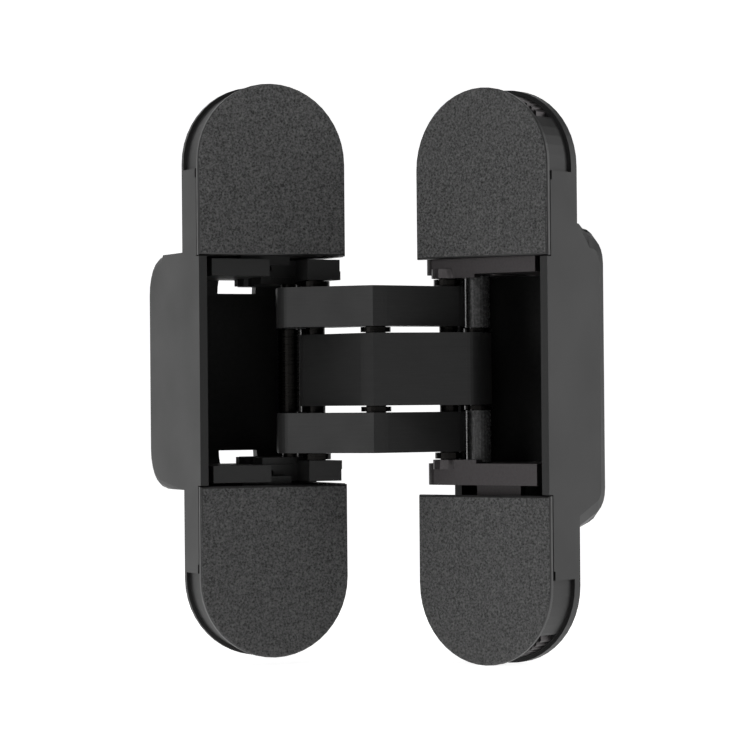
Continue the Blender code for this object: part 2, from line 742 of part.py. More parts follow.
def build_carrier(half, end, way):
    """A carrier holds the fixed pin in its boss and guides the slider pin in its groove."""
    side = SIDE[half]
    top = CARRIER_TOP[half]
    levels = sorted((way * CARRIER_LEVEL, way * top))
    body = prism("body", "uw", carrier_outline(half), *levels, side)
    carrier = add(f"{half}_carrier_{end}", body, HALF_AXIS[half], half_offset(half), SATIN)
    deep = way * (CARRIER_LEVEL + OVERCUT)
    if half == "frame":
        boss_levels = sorted((way * BOSS_LEVEL, deep))
        front = CARRIER_FRONT[half]
        boss = rectangle(BOSS_START, BOSS_END, front, BOSS_BACK)
        join(carrier, prism("boss", "uw", boss, *boss_levels, side), "boss")
        guide_levels = sorted((way * GUIDE_LEVEL, deep))
        join(carrier, prism("guide", "uw", guide_outline(), *guide_levels, side), "guide")
        spot = (BAR_DIMPLE_PLACE, way * (CARRIER_LEVEL + top) / 2)
        throat = front + BAR_DEPTH
        dimple = rod(BAR_DIMPLE, throat - OVERCUT, throat + BAR_DIMPLE_DEPTH, spot, side, "w")
        cut(carrier, dimple, "dimple")
    else:
        boss_levels = sorted((way * BOSS_LEVEL, way * DOOR_BOSS_TOP))
        boss = rod(BOSS_RADIUS - PIN_FIT, *boss_levels, PIVOT, side)
        join(carrier, boss, "boss")
        pad = rectangle(PIVOT_INSET, DOOR_PAD_WIDTH, CARRIER_FRONT[half], PIVOT_DEPTH)
        pad_levels = sorted((way * BOSS_LEVEL, deep))
        join(carrier, prism("pad", "uw", pad, *pad_levels, side), "pad")
    room = (GAP + DEPTH_TRAVEL, GAP) if half == "frame" else (GAP, GAP + HEIGHT_TRAVEL)
    envelope = prism("envelope", "wz", cavity_outline(half, *room), -OVERCUT, PLATE_WIDTH, side)
    shape(carrier, "INTERSECT", envelope, "envelope")
    tongue_levels = sorted((way * (top - OVERCUT), way * (top + TONGUE_REACH[half])))
    middle = PLATE_WIDTH / 2
    behind = tongue_front(half)
    tongue = rectangle(middle - TONGUE_WIDTH / 2, middle + TONGUE_WIDTH / 2, *tongue_levels)
    join(carrier, prism("tongue", "uz", tongue, behind, behind + TONGUE_THICKNESS, side), "tongue")
    bore_levels = sorted((way * (BOSS_LEVEL - OVERCUT), way * (PIN_TOP[half] + SEAT)))
    bore = rod(PIVOT_PIN_RADIUS + PIN_FIT, *bore_levels, PIVOT, side)
    cut(carrier, bore, "bore")
    groove_levels = sorted((way * (GUIDE_LEVEL - OVERCUT), way * (CARRIER_LEVEL + GROOVE_DEPTH)))
    cut(carrier, prism("groove", "uw", groove(half), *groove_levels, side), "groove")
    return carrier


def tongue_front(half):
    """Depth at which a carrier's tongue starts."""
    floor = PLATE_DEPTH[half] - RECESS_FLOOR
    return floor - DEPTH_TRAVEL - GAP - TONGUE_THICKNESS


def build_frame_slide(end, way):
    """The block under a frame cap that carries a carrier and shifts it sideways."""
    side = SIDE["frame"]
    margin = END_INSET + END_SKIN + GAP + SIDE_TRAVEL
    low = OPENING_HALF_HEIGHT["frame"] + GAP
    levels = sorted((way * low, way * TIP_START))
    front = CAP_THICKNESS + CAP_SKIRT_DEPTH + GAP
    back = PLATE_DEPTH["frame"] - RECESS_FLOOR - GAP
    outline = rectangle(margin, PLATE_WIDTH - margin, *levels)
    block = prism("block", "uz", outline, front, back, side)
    slide = add(f"frame_slide_{end}", block, frame_axis, FRAME_OFFSET, SATIN)
    middle = PLATE_WIDTH / 2
    wide = TONGUE_WIDTH / 2 + GAP
    slot_levels = sorted((way * (low - OVERCUT), way * (low + TONGUE_REACH["frame"] + GAP)))
    slot = rectangle(middle - wide, middle + wide, *slot_levels)
    cut(slide, prism("slot", "uz", slot, front - OVERCUT, back + OVERCUT, side), "slot")
    spot = clamp_spot(way)
    slotted = rectangle(
        spot[0] - SCREW_SHANK - SIDE_TRAVEL - PIN_FIT,
        spot[0] + SCREW_SHANK + SIDE_TRAVEL + PIN_FIT,
        spot[1] - SCREW_SHANK - PIN_FIT,
        spot[1] + SCREW_SHANK + PIN_FIT,
    )
    cut(slide, prism("way", "uz", slotted, front - OVERCUT, back + OVERCUT, side), "way")
    return slide


def clamp_spot(way):
    """Place of a clamping screw in u and z."""
    opening = OPENING_HALF_HEIGHT["frame"]
    return (PLATE_WIDTH / 2, way * (opening + CLAMP_SHARE * (TIP_START - opening)))


def screw(name, half, spot, head_back, tip, parent_offset, side):
    """A screw along w with a hexagon socket in its flat head."""
    head = rod(SCREW_HEAD, head_back - SCREW_HEAD_HEIGHT, head_back, spot, side, "w")
    piece = add(name, head, HALF_AXIS[half], parent_offset, BURNISHED)
    shank = rod(SCREW_SHANK, head_back - SCREW_HEAD_HEIGHT / 2, tip, spot, side, "w")
    join(piece, shank, "shank")
    socket = rod(
        SCREW_SOCKET,
        head_back - SCREW_HEAD_HEIGHT - OVERCUT,
        head_back - SCREW_HEAD_HEIGHT / 3,
        spot,
        side,
        "w",
        6,
    )
    return cut(piece, socket, "socket")


# The linkage


def both(outline):
    return [across_fold(point) for point in outline]


def build_arm(name, own, levels, parent, offset):
    """A hooked arm that is pinned in one half and slides in the other."""
    other = "door" if own == "frame" else "frame"
    limb = pivot_limb() if own == "frame" else both(pivot_limb())
    tail = tail_limb(other)
    slot = tail_slot(other)
    slider = slider_at(other, REST_OPENING)
    pivot = PIVOT
    if own == "frame":
        tail = both(tail)
        slot = both(slot)
        slider = across_fold(slider)
    else:
        pivot = across_fold(PIVOT)
    side = SIDE["frame"]
    low, high = levels
    arm = add(name, prism("limb", "uw", limb, low, high, side), parent, offset, BRUSHED)
    hook = prism("hook", "uw", tail, low, high, side)
    join(arm, hook, "hook")
    deep = (low - OVERCUT, high + OVERCUT)
    cut(arm, prism("slot", "uw", slot, *deep, side), "slot")
    cut(arm, rod(PIVOT_PIN_RADIUS + PIN_FIT, *deep, pivot, side), "pivot_bore")
    cut(arm, rod(CENTRE_PIN_RADIUS + PIN_FIT, *deep, CENTRE, side), "centre_bore")
    cut(arm, rod(SLIDER_PIN_RADIUS + PIN_FIT, *deep, slider, side), "slider_bore")
    return arm


def washer(name, radius, bore, levels, centre, parent, offset, side):
    ring = rod(radius, *sorted(levels), centre, side)
    piece = add(name, ring, parent, offset, BURNISHED)
    deep = (min(levels) - OVERCUT, max(levels) + OVERCUT)
    return cut(piece, rod(bore, *deep, centre, side), "bore")


for half in ("frame", "door"):
    build_housing(half)
    for end, way in ENDS.items():
        build_cap(half, end, way)
        build_carrier(half, end, way)

for end, way in ENDS.items():
    build_rack(end, way)
    build_frame_slide(end, way)
    spot = clamp_spot(way)
    head_back = CAP_THICKNESS + CAP_SKIRT_DEPTH
    tip = PLATE_DEPTH["frame"] - RECESS_FLOOR - SEAT
    screw(f"frame_clamp_screw_{end}", "frame", spot, head_back, tip, FRAME_OFFSET, SIDE["frame"])

build_arm("middle_arm", "frame", (-MIDDLE_HALF, MIDDLE_HALF), frame_axis, FRAME_OFFSET)
for end, way in ENDS.items():
    levels = sorted((way * OUTER_LOW, way * OUTER_HIGH))
    build_arm(f"{end}_arm", "door", levels, centre_axis, CENTRE_OFFSET)

frame_side = SIDE["frame"]
pin_end = PIN_TOP["frame"]
add(
    "frame_pivot_pin",
    rod(PIVOT_PIN_RADIUS, -pin_end, pin_end, PIVOT, frame_side),
    frame_axis,
    FRAME_OFFSET,
    BURNISHED,
)
add(
    "door_pivot_pin",
    rod(PIVOT_PIN_RADIUS, -PIN_TOP["door"], PIN_TOP["door"], PIVOT, SIDE["door"]),
    door_axis,
    half_offset("door"),
    BURNISHED,
)
add(
    "centre_pin",
    rod(CENTRE_PIN_RADIUS, -OUTER_HIGH, OUTER_HIGH, CENTRE, frame_side),
    frame_axis,
    FRAME_OFFSET,
    BURNISHED,
)
slider_end = CARRIER_LEVEL + SLIDER_PIN_BITE
frame_slider = slider_at("frame", REST_OPENING)
door_slider = across_fold(slider_at("door", REST_OPENING))
add(
    "frame_slider_pin",
    rod(SLIDER_PIN_RADIUS, -slider_end, slider_end, frame_slider, frame_side),
    centre_axis,
    CENTRE_OFFSET,
    BURNISHED,
)
add(
    "door_slider_pin",
    rod(SLIDER_PIN_RADIUS, -slider_end, slider_end, door_slider, frame_side),
    frame_axis,
    FRAME_OFFSET,
    BURNISHED,
)
sleeve_end = OUTER_LOW - SEAT
washer(
    "frame_slider_sleeve",
    SLEEVE_RADIUS,
    SLIDER_PIN_RADIUS + PIN_FIT,
    (-sleeve_end, sleeve_end),
    frame_slider,
    centre_axis,
    CENTRE_OFFSET,
    frame_side,
)
for end, way in ENDS.items():
    gap_low = MIDDLE_HALF + SEAT
    gap_high = OUTER_LOW - SEAT
    washer(
        f"centre_washer_{end}",
        WASHER_RADIUS,
        CENTRE_PIN_RADIUS + PIN_FIT,
        (way * gap_low, way * gap_high),
        CENTRE,
        centre_axis,
        CENTRE_OFFSET,
        frame_side,
    )
    ring_top = gap_low + RING_THICKNESS
    washer(
        f"door_slider_ring_{end}",
        RING_RADIUS,
        SLIDER_PIN_RADIUS + PIN_FIT,
        (way * gap_low, way * ring_top),
        door_slider,
        frame_axis,
        FRAME_OFFSET,
        frame_side,
    )
    washer(
        f"door_roller_{end}",
        ROLLER_RADIUS,
        SLIDER_PIN_RADIUS + PIN_FIT,
        (way * (ring_top + SEAT), way * (CARRIER_LEVEL - SEAT)),
        door_slider,
        frame_axis,
        FRAME_OFFSET,
        frame_side,
    )
    for half in ("frame", "door"):
        washer(
            f"{half}_pivot_washer_{end}",
            PIVOT_WASHER_RADIUS,
            PIVOT_PIN_RADIUS + PIN_FIT,
            (way * (OUTER_HIGH + SEAT), way * (BOSS_LEVEL - SEAT)),
            PIVOT,
            HALF_AXIS[half],
            half_offset(half),
            SIDE[half],
        )
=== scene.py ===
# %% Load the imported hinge
import json
import math

import bmesh
import bpy
from mathutils import Matrix, Vector


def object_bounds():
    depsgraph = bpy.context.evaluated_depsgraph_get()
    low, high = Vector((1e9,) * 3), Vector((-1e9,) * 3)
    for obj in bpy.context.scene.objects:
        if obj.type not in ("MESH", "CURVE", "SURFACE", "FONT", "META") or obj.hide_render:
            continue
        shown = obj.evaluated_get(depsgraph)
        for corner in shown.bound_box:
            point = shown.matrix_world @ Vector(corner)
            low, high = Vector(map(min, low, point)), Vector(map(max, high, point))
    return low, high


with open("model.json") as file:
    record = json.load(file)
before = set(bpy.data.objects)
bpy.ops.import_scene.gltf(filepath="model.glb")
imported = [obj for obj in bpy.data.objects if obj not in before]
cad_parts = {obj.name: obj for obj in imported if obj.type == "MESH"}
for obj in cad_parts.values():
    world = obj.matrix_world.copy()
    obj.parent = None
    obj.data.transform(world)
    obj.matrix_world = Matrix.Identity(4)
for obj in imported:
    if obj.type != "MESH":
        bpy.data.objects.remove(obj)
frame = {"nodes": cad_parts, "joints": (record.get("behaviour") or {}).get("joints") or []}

cad_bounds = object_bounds()
print("CAD box:", cad_bounds)

# %% [markdown]
# ## What is on the table
#
# The object is a concealed door hinge. Two die-cast housings are let into the door and its frame,
# and a three-armed linkage joins them. The lesson is about looks: what each surface is made of, and
# how a camera and lamps show it. The solids stay where they are.

# %% Nodes of the hinge
nodes = frame["nodes"]
MM = 0.001

# %% [markdown]
# ## Colours
#
# Colours are easiest to read off a screen as sRGB hex, and Blender's shaders work in linear light.
# One function turns the first into the second, and every colour in the lesson goes through it.


# %% From hex to linear colour
def colour(code):
    """The linear colour of an sRGB hex code."""
    channels = [int(code[i:i + 2], 16) / 255 for i in (1, 3, 5)]
    linear = [c / 12.92 if c <= 0.04045 else ((c + 0.055) / 1.055) ** 2.4 for c in channels]
    return (*linear, 1.0)


print("mid grey:", [round(c, 3) for c in colour("#808080")])

# %% [markdown]
# ## Nodes
#
# A material is a small graph. Most of the work is making a node, setting its values and linking its
# inputs, so one function does that. A value that is a `(node, "output")` pair becomes a link, and
# anything else is set on the socket itself.


# %% Adding a node, and starting a material
def add_node(tree, kind, inputs=None, **settings):
    """Add a node with its own settings, and its inputs as values or as (node, output) links."""
    made = tree.nodes.new(kind)
    for name, value in settings.items():
        setattr(made, name, value)
    for name, value in (inputs or {}).items():
        plug_in(tree, made, name, value)
    return made


def plug_in(tree, made, name, value):
    """Give one input of a node a value or a link."""
    if isinstance(value, tuple) and isinstance(value[0], bpy.types.Node):
        tree.links.new(value[0].outputs[value[1]], made.inputs[name])
    else:
        made.inputs[name].default_value = value


def start_material(name, **inputs):
    """A node material, its graph and its Principled shader with some inputs set."""
    made = bpy.data.materials.new(name)
    made.use_nodes = True
    shader = made.node_tree.nodes["Principled BSDF"]
    for label, value in inputs.items():
        shader.inputs[label.replace("_", " ")].default_value = value
    return made, made.node_tree, shader


def per_metre(size_mm):
    """How many features of a size in millimetres fit in a metre: the scale of a texture."""
    return 1.0 / (size_mm * MM)


print("a 0.4 mm grain has scale", round(per_metre(0.4)))

# %% Sockets of the Mix node
# A Mix node has a socket of every kind under one name, so its colour sockets go by number.
MIX_A = 6
MIX_B = 7
MIX_RESULT = 2
print("colour sockets:", MIX_A, MIX_B, "to", MIX_RESULT)

# %% [markdown]
# ## Black enamel on die-cast zinc
#
# The housings are zinc alloy, cast under pressure and stoved with black enamel. The coat is a
# dielectric with the usual IOR of 1.5. It is thin, so it follows the casting: the eye sees a satin
# black with a very fine orange peel, and cloudy changes in gloss. The real peel is about 0.2 mm
# across. It is drawn at 0.45 mm, because a finer one would be lost between the pixels. What is
# finer still takes away some of the shine, so the specular level is a little under the usual 0.5.
#
# The coat could be a clear layer over metal. The enamel hides the metal, though, so one dielectric
# skin does the same with fewer nodes.

# %% Enamel
ENAMEL_PEEL = 0.45
ENAMEL_CLOUD = 14.0
enamel, tree, shader = start_material(
    "black_enamelled_zinc", IOR=1.5, Metallic=0.0, Specular_IOR_Level=0.42
)
place = add_node(tree, "ShaderNodeTexCoord")
peel = add_node(
    tree,
    "ShaderNodeTexNoise",
    {"Vector": (place, "Object"), "Scale": per_metre(ENAMEL_PEEL), "Detail": 3.0, "Roughness": 0.6},
)
cloud = add_node(
    tree,
    "ShaderNodeTexNoise",
    {"Vector": (place, "Object"), "Scale": per_metre(ENAMEL_CLOUD), "Detail": 4.0},
)
tone = add_node(
    tree,
    "ShaderNodeMix",
    {"Factor": (cloud, "Fac"), MIX_A: colour("#1d1d1d"), MIX_B: colour("#272727")},
    data_type="RGBA",
)
gloss = add_node(
    tree,
    "ShaderNodeMapRange",
    {"Value": (cloud, "Fac"), "From Min": 0.3, "From Max": 0.7, "To Min": 0.46, "To Max": 0.54},
)
skin = add_node(
    tree,
    "ShaderNodeBump",
    {"Height": (peel, "Fac"), "Strength": 0.3, "Distance": 0.02 * MM},
)
plug_in(tree, shader, "Base Color", (tone, MIX_RESULT))
plug_in(tree, shader, "Roughness", (gloss, "Result"))
plug_in(tree, shader, "Normal", (skin, "Normal"))
print("made", enamel.name)

# %% [markdown]
# ## Painted shade in the pockets
#
# The pockets are 20 to 26 mm deep. Their inner faces get a near-black, dull material, which paints
# the shade that falls inside a pocket. A noise varies its tone and roughness at random. A darker
# enamel would nearly do, but the dullness matters more than the colour, so this is a material of
# its own. It goes on the inner faces only.

# %% Painted pocket shade
POCKET_MOTTLE = 0.9
# The near-black tone of this material is painted shade for the inside of the pockets.
pocket_shade, tree, shader = start_material(
    "pocket_painted_shade", IOR=1.5, Metallic=0.0, Specular_IOR_Level=0.3
)
place = add_node(tree, "ShaderNodeTexCoord")
mottle = add_node(
    tree,
    "ShaderNodeTexNoise",
    {"Vector": (place, "Object"), "Scale": per_metre(POCKET_MOTTLE), "Detail": 4.0, "Roughness": 0.65},
)
tone = add_node(
    tree,
    "ShaderNodeMix",
    {"Factor": (mottle, "Fac"), MIX_A: colour("#0a0a0a"), MIX_B: colour("#161616")},
    data_type="RGBA",
)
dull = add_node(
    tree,
    "ShaderNodeMapRange",
    {"Value": (mottle, "Fac"), "From Min": 0.3, "From Max": 0.7, "To Min": 0.55, "To Max": 0.75},
)
plug_in(tree, shader, "Base Color", (tone, MIX_RESULT))
plug_in(tree, shader, "Roughness", (dull, "Result"))
print("made", pocket_shade.name)

# %% [markdown]
# ## Spark-grained nylon
#
# The end covers are moulded in black nylon, in a mould that was spark eroded. The sparks leave a
# carpet of shallow craters, so the cover looks dry and grainy beside the enamel. Nylon's IOR is
# 1.53. The craters are about 0.15 mm across on the real mould. They are drawn at 0.4 mm, so that
# they show in the render. Big and small craters lie over each other, and the rims are paler than
# the pits.
#
# The craters could be cut into the mesh with a Displace modifier. They are much shallower than a
# pixel, so bump and tone show as much, and leave the size of the covers alone.

# %% Grained nylon
CRATER = 0.40
GRAIN = 0.44
PIT_SHARE = 0.25
nylon, tree, shader = start_material("spark_grained_nylon", IOR=1.53, Metallic=0.0)
place = add_node(tree, "ShaderNodeTexCoord")
grain = add_node(
    tree,
    "ShaderNodeTexNoise",
    {"Vector": (place, "Object"), "Scale": per_metre(GRAIN), "Detail": 4.0, "Roughness": 0.8},
)
pits = add_node(
    tree,
    "ShaderNodeTexVoronoi",
    {"Vector": (place, "Object"), "Scale": per_metre(CRATER), "Randomness": 1.0},
)
carpet = add_node(tree, "ShaderNodeMath", operation="MULTIPLY_ADD")
plug_in(tree, carpet, 0, (pits, "Distance"))
plug_in(tree, carpet, 1, PIT_SHARE)
plug_in(tree, carpet, 2, (grain, "Fac"))
spread = add_node(
    tree,
    "ShaderNodeMapRange",
    {"Value": (carpet, "Value"), "From Min": 0.46, "From Max": 0.84},
)
tone = add_node(
    tree,
    "ShaderNodeMix",
    {"Factor": (spread, "Result"), MIX_A: colour("#050505"), MIX_B: colour("#737373")},
    data_type="RGBA",
)
dry = add_node(
    tree,
    "ShaderNodeMapRange",
    {"Value": (grain, "Fac"), "From Min": 0.3, "From Max": 0.7, "To Min": 0.75, "To Max": 0.50},
)
craters = add_node(
    tree,
    "ShaderNodeBump",
    {"Height": (carpet, "Value"), "Strength": 0.9, "Distance": 0.10 * MM},
)
plug_in(tree, shader, "Base Color", (tone, MIX_RESULT))
plug_in(tree, shader, "Roughness", (dry, "Result"))
plug_in(tree, shader, "Normal", (craters, "Normal"))
print("made", nylon.name)

# %% [markdown]
# ## The plain edge of the covers
#
# Only the face of the mould was eroded. The rounded edge and the sides of a cover are smooth,
# because they have to slide out of the steel, so they shine where the face does not. The grain
# could be masked out there, but a second material is simpler: the border runs along edges of the
# mesh.

# %% Smooth nylon
FLOW_LINE = 2.5
smooth_nylon, tree, shader = start_material("smooth_moulded_nylon", IOR=1.53, Metallic=0.0)
place = add_node(tree, "ShaderNodeTexCoord")
flow = add_node(
    tree,
    "ShaderNodeTexNoise",
    {"Vector": (place, "Object"), "Scale": per_metre(FLOW_LINE), "Detail": 3.0},
)
tone = add_node(
    tree,
    "ShaderNodeMix",
    {"Factor": (flow, "Fac"), MIX_A: colour("#1c1c1c"), MIX_B: colour("#2a2a2a")},
    data_type="RGBA",
)
gloss = add_node(
    tree,
    "ShaderNodeMapRange",
    {"Value": (flow, "Fac"), "From Min": 0.3, "From Max": 0.7, "To Min": 0.34, "To Max": 0.46},
)
plug_in(tree, shader, "Base Color", (tone, MIX_RESULT))
plug_in(tree, shader, "Roughness", (gloss, "Result"))
print("made", smooth_nylon.name)

# %% [markdown]
# ## Black lacquer over brushed steel
#
# The arms are milled from steel bar, brushed along their length and dipped in a thin black lacquer.
# The lacquer is a dielectric with an IOR of 1.5, and it is too thin to hide what lies under it: the
# brush lines still show as streaks. It dries with a fine tooth that takes away some of the shine.
# The real lines are about 0.05 mm apart. They are drawn 0.2 mm apart and some millimetres long. The
# arms are upright prisms, so a pattern that is squeezed in z runs along every facet.
#
# Bare brushed metal would be the other way to make it. It would mirror the white sheet on every
# facet, and on the real arms the facets that face away from the lamps stay dark.

# %% Lacquered steel
BRUSH_PITCH = 0.20
BRUSH_LENGTH = 5.0
LACQUER_TOOTH = 0.35
LACQUER_PATCH = 7.0
lacquered, tree, shader = start_material(
    "black_lacquered_brushed_steel", IOR=1.5, Metallic=0.0, Specular_IOR_Level=0.3
)
place = add_node(tree, "ShaderNodeTexCoord")
squeeze = add_node(
    tree,
    "ShaderNodeMapping",
    {
        "Vector": (place, "Object"),
        "Scale": (per_metre(BRUSH_LENGTH), per_metre(BRUSH_LENGTH), per_metre(BRUSH_PITCH)),
    },
)
brushing = add_node(
    tree,
    "ShaderNodeTexNoise",
    {"Vector": (squeeze, "Vector"), "Scale": 1.0, "Detail": 3.0, "Roughness": 0.65},
)
tooth = add_node(
    tree,
    "ShaderNodeTexNoise",
    {"Vector": (place, "Object"), "Scale": per_metre(LACQUER_TOOTH), "Detail": 3.0, "Roughness": 0.7},
)
patch = add_node(
    tree,
    "ShaderNodeTexNoise",
    {"Vector": (place, "Object"), "Scale": per_metre(LACQUER_PATCH), "Detail": 4.0},
)
streaks = add_node(
    tree,
    "ShaderNodeMix",
    {"Factor": (brushing, "Fac"), MIX_A: colour("#242424"), MIX_B: colour("#3c3c3c")},
    data_type="RGBA",
)
tone = add_node(
    tree,
    "ShaderNodeMix",
    {"Factor": (patch, "Fac"), MIX_A: (streaks, MIX_RESULT), MIX_B: colour("#2c2c2c")},
    data_type="RGBA",
)
sheen = add_node(
    tree,
    "ShaderNodeMapRange",
    {"Value": (patch, "Fac"), "From Min": 0.3, "From Max": 0.7, "To Min": 0.38, "To Max": 0.48},
)
relief = add_node(tree, "ShaderNodeMath", operation="ADD")
plug_in(tree, relief, 0, (brushing, "Fac"))
plug_in(tree, relief, 1, (tooth, "Fac"))
lines = add_node(
    tree,
    "ShaderNodeBump",
    {"Height": (relief, "Value"), "Strength": 0.35, "Distance": 0.02 * MM},
)
plug_in(tree, shader, "Base Color", (tone, MIX_RESULT))
plug_in(tree, shader, "Roughness", (sheen, "Result"))
plug_in(tree, shader, "Normal", (lines, "Normal"))
print("made", lacquered.name)

# %% [markdown]
# ## Phosphated steel
#
# The door's carriers and racks are sintered steel with a manganese phosphate skin: a warm, soft
# dark grey with a fine sandy tooth from the pressed powder. The powder is about 0.1 mm, drawn at
# 0.4 mm. A plain dark paint would look flat here, and bare metal too bright. The crystals are thin
# and let some of the metal through, so the metallic value is high but not full.

# %% Phosphated steel
POWDER = 0.40
phosphated, tree, shader = start_material("phosphated_sintered_steel", Metallic=0.8)
place = add_node(tree, "ShaderNodeTexCoord")
powder = add_node(
    tree,
    "ShaderNodeTexNoise",
    {"Vector": (place, "Object"), "Scale": per_metre(POWDER), "Detail": 3.0, "Roughness": 0.6},
)
tone = add_node(
    tree,
    "ShaderNodeMix",
    {"Factor": (powder, "Fac"), MIX_A: colour("#403d3e"), MIX_B: colour("#555253")},
    data_type="RGBA",
)
tooth = add_node(
    tree,
    "ShaderNodeBump",
    {"Height": (powder, "Fac"), "Strength": 0.2, "Distance": 0.02 * MM},
)
matt = add_node(
    tree,
    "ShaderNodeMapRange",
    {"Value": (powder, "Fac"), "From Min": 0.3, "From Max": 0.7, "To Min": 0.38, "To Max": 0.48},
)
plug_in(tree, shader, "Base Color", (tone, MIX_RESULT))
plug_in(tree, shader, "Roughness", (matt, "Result"))
plug_in(tree, shader, "Normal", (tooth, "Normal"))
print("made", phosphated.name)

# %% [markdown]
# ## Oiled pins and washers
#
# Pins and washers are turned from steel, blackened and dipped in oil. Turning leaves rings round
# the axis, which on an upright pin are bands in z about 0.1 mm apart, drawn at 0.3 mm. The oil
# pools between the bands and makes them glossier there. The sleeve on the frame's slider pin and
# the clamping screws have the same finish. A Wave texture would give rings too, but all alike. A
# noise that is squeezed in z gives uneven ones, as a lathe does.

# %% Oiled steel
TURNING_PITCH = 0.30
OIL_POOL = 4.0
oiled, tree, shader = start_material("oiled_turned_steel", Metallic=1.0)
place = add_node(tree, "ShaderNodeTexCoord")
squeeze = add_node(
    tree,
    "ShaderNodeMapping",
    {
        "Vector": (place, "Object"),
        "Scale": (per_metre(OIL_POOL), per_metre(OIL_POOL), per_metre(TURNING_PITCH)),
    },
)
rings = add_node(
    tree,
    "ShaderNodeTexNoise",
    {"Vector": (squeeze, "Vector"), "Scale": 1.0, "Detail": 2.0},
)
tone = add_node(
    tree,
    "ShaderNodeMix",
    {"Factor": (rings, "Fac"), MIX_A: colour("#171615"), MIX_B: colour("#242322")},
    data_type="RGBA",
)
polish = add_node(
    tree,
    "ShaderNodeMapRange",
    {"Value": (rings, "Fac"), "From Min": 0.3, "From Max": 0.7, "To Min": 0.22, "To Max": 0.36},
)
plug_in(tree, shader, "Base Color", (tone, MIX_RESULT))
plug_in(tree, shader, "Roughness", (polish, "Result"))
print("made", oiled.name)

# %% [markdown]
# ## Greased acetal
#
# The rollers are turned from black acetal, a slippery plastic with an IOR of 1.48. They run in
# pale grease, so they shine, and the grease lies in lumps that break the highlight up into beads.
# The lumps are about 0.5 mm across. The grease could be a coat over the acetal. It shines like the
# plastic, so here the tone, the roughness and the bump of one surface stand for it.

# %% Acetal
GREASE_LUMP = 0.5
acetal, tree, shader = start_material("greased_black_acetal", IOR=1.48, Metallic=0.0)
place = add_node(tree, "ShaderNodeTexCoord")
lump = add_node(
    tree,
    "ShaderNodeTexNoise",
    {"Vector": (place, "Object"), "Scale": per_metre(GREASE_LUMP), "Detail": 3.0, "Roughness": 0.6},
)
tone = add_node(
    tree,
    "ShaderNodeMix",
    {"Factor": (lump, "Fac"), MIX_A: colour("#262626"), MIX_B: colour("#606060")},
    data_type="RGBA",
)
slick = add_node(
    tree,
    "ShaderNodeMapRange",
    {"Value": (lump, "Fac"), "From Min": 0.35, "From Max": 0.65, "To Min": 0.10, "To Max": 0.36},
)
film = add_node(
    tree,
    "ShaderNodeBump",
    {"Height": (lump, "Fac"), "Strength": 0.6, "Distance": 0.08 * MM},
)
plug_in(tree, shader, "Base Color", (tone, MIX_RESULT))
plug_in(tree, shader, "Roughness", (slick, "Result"))
plug_in(tree, shader, "Normal", (film, "Normal"))
print("made", acetal.name)

# %% [markdown]
# ## Dressing the solids
#
# Each solid gets the finish of its kind. A word in the solid's name says which kind it is, so a
# short table does the work, and the first word that fits wins. The frame's carriers and slides are
# cast and enamelled like its housing, and so much darker than the door's. A list of 35 names would
# do as well, but it would be longer and easier to get wrong.

# %% Finishes by kind
FINISHES = {
    "housing": enamel,
    "_cap_": nylon,
    "_arm": lacquered,
    "frame_carrier": enamel,
    "frame_slide_": enamel,
    "carrier": phosphated,
    "rack": phosphated,
    "roller": acetal,
    "": oiled,
}


def finish_of(name):
    """The material for a solid, by the first word that its name holds."""
    return next(finish for word, finish in FINISHES.items() if word in name)


for name, solid in nodes.items():
    solid.data.materials.clear()
    solid.data.materials.append(finish_of(name))
print("dressed", len(nodes), "solids")

# %% [markdown]
# ## A plan for each half
#
# The housings need a second material inside their pockets, the darker one that paints the shade
# there, and the covers a second one round their edges. For a pocket, the faces are easiest to pick
# in the half's own plan: `u` runs along the face plate from its inner edge, and `w` into the wood.
# The frame half lies square to the world. The door half is turned 61 degrees about its pivot pin.

# %% Plans of the halves
PLATE_WIDTH = 30.0
FRAME_DEPTH = 28.3
PIVOT_INSET = 4.9
PIVOT_DEPTH = 3.6
DOOR_TURN = math.radians(61.0)
joints = {joint["name"]: joint for joint in frame["joints"]}
DOOR_PIVOT = Vector(joints["door_arm_hinge"]["pos_m"]) / MM


def frame_plan(point):
    """The frame half's u and w, in mm, of a point in metres."""
    return PLATE_WIDTH / 2 - point.x / MM, FRAME_DEPTH + point.y / MM


def door_plan(point):
    """The door half's u and w, in mm, of a point in metres."""
    off = Matrix.Rotation(DOOR_TURN, 3, "Z") @ (point / MM - DOOR_PIVOT)
    return PIVOT_INSET + off.x, PIVOT_DEPTH + off.y


PLANS = {"frame": frame_plan, "door": door_plan}
print("door pivot at", [round(v, 1) for v in DOOR_PIVOT])

# %% [markdown]
# The pocket's inner faces lie within the side walls, in front of the floor, and between the two
# ends. The front of a cover is whatever faces out of the plate. Both are told from the middle or
# the direction of a face, so no face has to be picked by its number.

# %% Second materials
SIDE_WALL = 1.6
MOUTH = 1.0
SLACK = 0.05
POCKET_FLOOR = {"frame": 26.3, "door": 20.5}
POCKET_MIDDLE = {"frame": 0.0, "door": -1.5}
POCKET_HALF = {"frame": 21.65, "door": 27.65}
FRONT_FACING = 0.9


def in_pocket(half, point):
    """Whether a point lies inside a half's pocket, or on its inner faces."""
    u, w = PLANS[half](point)
    height = abs(point.z / MM - POCKET_MIDDLE[half])
    between = SIDE_WALL - SLACK < u < PLATE_WIDTH - SIDE_WALL + SLACK
    return between and MOUTH < w < POCKET_FLOOR[half] + SLACK and height < POCKET_HALF[half]


def front_of(half):
    """The direction that a half's face plate looks in."""
    turn = 0.0 if half == "frame" else DOOR_TURN
    return Matrix.Rotation(-turn, 3, "Z") @ Vector((0.0, -1.0, 0.0))


